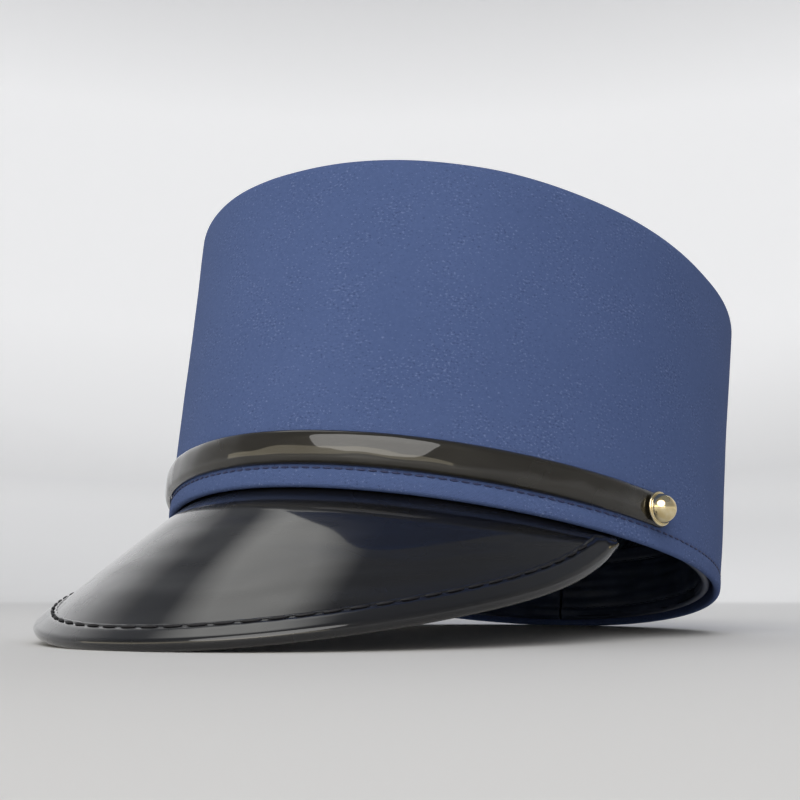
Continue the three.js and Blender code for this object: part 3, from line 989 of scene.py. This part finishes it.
def makeButton(name, side):
    profile = list(button["profile"])
    for turn in spread(0, 90, button["domeSteps"]):
        angle = math.radians(turn)
        radius = button["domeRadius"] * math.cos(angle) if turn < 90 else 0
        profile.append((radius, button["domeFoot"] + button["domeRise"] * math.sin(angle)))
    angle = side * button["angle"]
    seat = besideOval(angle, button["height"], -button["proud"])
    outward = ovalNormal(angle, button["height"])
    turned = Vector((0, 0, 1)).rotation_difference(outward).to_matrix()
    rows = []
    for turn in spread(0, math.tau, button["segments"]):
        ring = [(radius * math.cos(turn), radius * math.sin(turn), rise) for radius, rise in profile]
        rows.append([seat + turned @ Vector(point) for point in ring])
    piece = makeSkin("button_gold_" + name, rows, finish["gold"])
    dress(piece, "gold_button", "button_" + name)


makeStrap()
makeButton("left", 1)
makeButton("right", -1)
print("strap and buttons made")


# Stitches: one tree lays thread along any path

def makeStitchTree():
    tree, given, result = newGroup("run of stitches", (
        ("Path", "Geometry", None), ("Pitch", "Float", 0.003), ("Length", "Float", 0.0024),
        ("Thickness", "Float", 0.0006), ("Wander", "Float", 0.05), ("Thread", "Material", None),
    ), (("Stitches", "Geometry"),), "GeometryNodeTree")
    curve = addNode(tree, "GeometryNodeMeshToCurve", {"Mesh": given["Path"]}).outputs[0]
    inputs = {"Curve": curve, "Length": given["Pitch"]}
    points = addNode(tree, "GeometryNodeResampleCurve", inputs, mode="LENGTH").outputs[0]
    bead = addNode(tree, "GeometryNodeMeshUVSphere", {"Segments": 8, "Rings": 7, "Radius": 0.5}).outputs[0]
    # Each stitch lies along the path, turned a little either way
    tangent = tree.nodes.new("GeometryNodeInputTangent").outputs[0]
    along = addNode(tree, "FunctionNodeAlignRotationToVector", {"Vector": tangent}, axis="X").outputs[0]
    inputs = {0: (0, 1, 1), "Scale": given["Wander"]}
    most = addNode(tree, "ShaderNodeVectorMath", inputs, operation="SCALE").outputs[0]
    least = addNode(tree, "ShaderNodeVectorMath", {0: most, "Scale": -1.0}, operation="SCALE").outputs[0]
    inputs = {0: least, 1: most, "Seed": 7}
    tilt = addNode(tree, "FunctionNodeRandomValue", inputs, data_type="FLOAT_VECTOR").outputs[0]
    tilt = addNode(tree, "FunctionNodeEulerToRotation", {0: tilt}).outputs[0]
    inputs = {0: along, 1: tilt}
    turned = addNode(tree, "FunctionNodeRotateRotation", inputs, rotation_space="LOCAL").outputs[0]
    inputs = {0: given["Length"], 1: given["Thickness"], 2: given["Thickness"]}
    size = addNode(tree, "ShaderNodeCombineXYZ", inputs).outputs[0]
    laid = addNode(tree, "GeometryNodeInstanceOnPoints", {
        "Points": points, "Instance": bead, "Rotation": turned, "Scale": size,
    }).outputs[0]
    real = addNode(tree, "GeometryNodeRealizeInstances", {0: laid}).outputs[0]
    smooth = addNode(tree, "GeometryNodeSetShadeSmooth", {0: real}).outputs[0]
    inputs = {"Geometry": smooth, "Material": given["Thread"]}
    tree.links.new(addNode(tree, "GeometryNodeSetMaterial", inputs).outputs[0], result[0])
    return tree


stitchTree = makeStitchTree()
stitchSockets = {
    item.name: item.identifier for item in stitchTree.interface.items_tree if item.in_out == "INPUT"
}


stitches = {
    "cloth": {"pitch": 3.1, "length": 2.4, "thick": 0.6, "wander": 0.06, "proud": 0.12},
    "over": {"pitch": binding["stitchPitch"], "length": 5.2, "thick": 0.8, "wander": 0.03, "proud": -0.3},
    "under": {"pitch": binding["stitchPitch"], "length": 4.8, "thick": 0.8, "wander": 0.03, "proud": -0.3},
    "band": {"pitch": 4.2, "length": 3.0, "thick": 0.5, "wander": 0.06, "proud": 0.1},
    "ringPoints": 480, "bandShares": (0.003, 0.997), "bandPoints": 420,
}


def sewRun(name, points, closed, thread, slot, sizes):
    # The pitch is fitted so that a whole number of stitches fills the path
    path = [toRest @ point for point in points]
    total = runLengths(path + path[:1] if closed else path)[-1]
    fitted = total / max(round(total / (sizes["pitch"] / 1000)), 1)
    mesh = bpy.data.meshes.new(name)
    edges = [(i, i + 1) for i in range(len(path) - 1)]
    if closed:
        edges.append((len(path) - 1, 0))
    mesh.from_pydata([tuple(point) for point in path], edges, [])
    guide = addObject(name + "_path", mesh)
    modifier = guide.modifiers.new("stitches", "NODES")
    modifier.node_group = stitchTree
    for label, value in (
        ("Pitch", fitted), ("Length", sizes["length"] / 1000), ("Thickness", sizes["thick"] / 1000),
        ("Wander", sizes["wander"]), ("Thread", thread),
    ):
        modifier[stitchSockets[label]] = value
    evaluated = guide.evaluated_get(bpy.context.evaluated_depsgraph_get())
    sewn = bpy.data.meshes.new_from_object(evaluated)
    sewn.name = name
    bpy.data.objects.remove(guide)
    dress(addObject(name, sewn), slot)


def sewCloth():
    sizes = stitches["cloth"]
    ring = spread(0, 360, stitches["ringPoints"])[:-1]
    hem = [besideOval(angle, crown["hemStitchHeight"], sizes["proud"]) for angle in ring]
    sewRun("hem_stitches", hem, True, finish["clothThread"], "navy_cloth", sizes)
    top = []
    for angle in ring:
        point = besideOval(angle, crown["height"], crown["topStitchInset"])
        rim = besideOval(angle, crown["height"], crown["topTurning"])
        rise = panelRise(point.length / rim.length, point, Vector((rim.x, rim.y)).length)
        top.append(point + Vector((0, 0, rise + sizes["proud"])))
    sewRun("top_stitches", top, True, finish["clothThread"], "navy_cloth", sizes)


def sewPeak():
    leaf = binding["slack"] + binding["thick"]
    rootClear = binding["root"] + binding["stitchEnd"]
    slopes = []
    for slope in peakSlopes(peak["shortest"]):
        if slope["board"] - binding["stitchFoot"] * slope["skew"] > rootClear:
            slopes.append(slope)
    for side, fromLip, above in (
        ("over", binding["stitchTop"], leaf + stitches["over"]["proud"]),
        ("under", binding["stitchFoot"], -peak["board"] - leaf - stitches["under"]["proud"]),
    ):
        row = [onPeak(slope, slope["board"] - fromLip * slope["skew"], above) for slope in slopes]
        sewRun("binding_stitches_" + side, row, False, finish["peakThread"], "black_patent", stitches[side])


def sewBand():
    sizes = stitches["band"]
    for name, heightOf in (
        ("band_stitches_high", lambda angle: bandTop(angle) - band["rowBelowTop"]),
        ("band_stitches_low", lambda angle: band["foot"] + band["rowAboveFoot"]),
    ):
        row = []
        for share in spread(*stitches["bandShares"], stitches["bandPoints"]):
            height = heightOf(mix(band["join"], band["join"] + 360, share))
            angle = bandAngle(share, height)
            inset = band["outer"] + band["thick"] + bandFace(angle, height) + sizes["proud"]
            row.append(besideOval(angle, height, inset))
        sewRun(name, row, False, finish["liningThread"], "sweatband_cloth", sizes)


sewCloth()
sewPeak()
sewBand()
print("stitches sewn")


# Studio: a pale floor that curves up into a wall, soft lights, and the camera

studio = {
    "floorRadius": 1.6, "wallRadius": 4.0, "wallHeight": 3.6, "shade": (0.66, 0.66, 0.665), "glow": 0.8,
    "glowSide": (-0.62, 0.78, 0.0), "glowFrom": 0.1, "glowFull": 0.75, "glowFadesAt": 1.9,
    "lowGlow": (0.25, 0.8), "floorGlowFrom": 1.0, "floorGlowFull": 0.9,
    "sky": (0.20, 0.21, 0.23), "window": (1.9, 1.9, 1.85), "windowSide": (-0.37, 0.11, 0.92),
    "windowEdge": (0.958, 0.992), "windowFade": 1.4,
}

photoView = {
    "azimuth": 30.7, "distance": 0.39, "cameraHeight": 0.013, "lens": 50.7,
    "aim": (-0.0048, -0.0044, 0.0775),
}

# Lamps: place and size in metres, power in watts, all turned to lampAim
lampAim = (0, 0, 0.06)
lamps = (
    {"name": "key", "place": (0.56, -1.49, 1.30), "size": (1.9, 1.9), "power": 28.5,
     "tint": (1.0, 0.985, 0.96)},
    {"name": "warm card", "place": (-0.12, -1.21, 0.40), "size": (3.4, 0.3), "power": 5.3,
     "tint": (1.0, 0.89, 0.64)},
    {"name": "back", "place": (-0.45, 1.65, 1.3), "size": (1.2, 1.2), "power": 9, "tint": (1.0, 1.0, 1.0)},
)


def floorFinish():
    # The far wall behind the hat glows softly, and the wall behind the camera stays dim up high,
    # so that the patent leather has something dark to mirror
    material, tree, shader = newMaterial("pale floor")
    place = objectPlace(tree)
    radius = studio["wallRadius"]
    inputs = {0: place, 1: studio["glowSide"]}
    aside = addNode(tree, "ShaderNodeVectorMath", inputs, operation="DOT_PRODUCT").outputs["Value"]
    behind = ramp(tree, aside, studio["glowFrom"] * radius, studio["glowFull"] * radius)
    height = addNode(tree, "ShaderNodeSeparateXYZ", {0: place}).outputs[2]
    fading = ramp(tree, height, studio["glowFadesAt"], studio["wallHeight"], 1.0, 0.0)
    behind = mathNode(tree, "MULTIPLY", behind, fading)
    low = ramp(tree, height, *studio["lowGlow"], 1.0, 0.0)
    far = addNode(tree, "ShaderNodeVectorMath", {0: place}, operation="LENGTH").outputs["Value"]
    far = ramp(tree, far, studio["floorGlowFrom"], studio["floorGlowFull"] * radius)
    glow = mathNode(tree, "MULTIPLY", mathNode(tree, "MAXIMUM", behind, low), far)
    setInputs(tree, shader, {
        "Base Color": (*studio["shade"], 1), "Roughness": 0.9, "Specular IOR Level": 0.2,
        "Emission Color": mixColour(tree, glow, (0, 0, 0), studio["shade"]),
        "Emission Strength": studio["glow"],
    })
    # The cove is clear from outside, for a camera that stands behind its wall
    clear = tree.nodes.new("ShaderNodeBsdfTransparent").outputs[0]
    back = tree.nodes.new("ShaderNodeNewGeometry").outputs["Backfacing"]
    seen = addNode(tree, "ShaderNodeMixShader", {0: back, 1: shader.outputs[0], 2: clear}).outputs[0]
    tree.links.new(seen, tree.nodes["Material Output"].inputs["Surface"])
    return material


def makeStudio():
    profile = [(0, 0), (studio["floorRadius"], 0)]
    sweep = studio["wallRadius"] - studio["floorRadius"]
    for turn in spread(0, 90, 16)[1:]:
        angle = math.radians(turn)
        profile.append((studio["floorRadius"] + sweep * math.sin(angle), sweep * (1 - math.cos(angle))))
    profile.append((studio["wallRadius"], studio["wallHeight"]))
    cove = bmesh.new()
    rings = []
    for turn in spread(0, math.tau, 96):
        ring = [(radius * math.cos(turn), radius * math.sin(turn), rise) for radius, rise in profile]
        rings.append([cove.verts.new(point) for point in ring])
    for near, far in zip(rings, rings[1:]):
        for j in range(len(profile) - 1):
            cove.faces.new((near[j], near[j + 1], far[j + 1], far[j]))
    bmesh.ops.remove_doubles(cove, verts=cove.verts, dist=1e-5)
    mesh = bpy.data.meshes.new("floor")
    cove.to_mesh(mesh)
    cove.free()
    mesh.polygons.foreach_set("use_smooth", [True] * len(mesh.polygons))
    mesh.materials.append(floorFinish())
    addObject("floor", mesh)


def makeSky():
    # An even dim sky with one soft bright window high on the left
    world = bpy.data.worlds.new("studio")
    world.use_nodes = True
    tree = world.node_tree
    heading = addNode(tree, "ShaderNodeTexCoord").outputs["Generated"]
    windowSide = Vector(studio["windowSide"]).normalized()
    inputs = {0: heading, 1: windowSide}
    near = addNode(tree, "ShaderNodeVectorMath", inputs, operation="DOT_PRODUCT").outputs["Value"]
    share = mathNode(tree, "POWER", ramp(tree, near, *studio["windowEdge"]), studio["windowFade"])
    colour = mixColour(tree, share, studio["sky"], studio["window"])
    tree.links.new(colour, tree.nodes["Background"].inputs["Color"])
    bpy.context.scene.world = world


def makeLights():
    for lamp in lamps:
        light = bpy.data.lights.new(lamp["name"], "AREA")
        light.shape = "ELLIPSE" if lamp["size"][0] == lamp["size"][1] else "RECTANGLE"
        light.size, light.size_y = lamp["size"]
        light.energy = lamp["power"]
        light.color = lamp["tint"]
        holder = addObject(lamp["name"], light)
        holder.location = lamp["place"]
        toHat = Vector(lampAim) - holder.location
        holder.rotation_euler = toHat.to_track_quat("-Z", "Y").to_euler()


def makeCamera():
    data = bpy.data.cameras.new("camera")
    data.lens = photoView["lens"]
    data.sensor_width = 36
    data.clip_start = 0.01
    camera = addObject("camera", data)
    angle = math.radians(photoView["azimuth"])
    reach = photoView["distance"]
    away = Vector((math.sin(angle) * reach, -math.cos(angle) * reach, 0))
    camera.location = Vector((0, rimCentre.y, photoView["cameraHeight"])) + away
    toHat = Vector(photoView["aim"]) - camera.location
    camera.rotation_euler = toHat.to_track_quat("-Z", "Y").to_euler()
    bpy.context.scene.camera = camera


makeStudio()
makeSky()
makeLights()
makeCamera()
bpy.context.scene.view_settings.view_transform = "Standard"
print("studio ready")
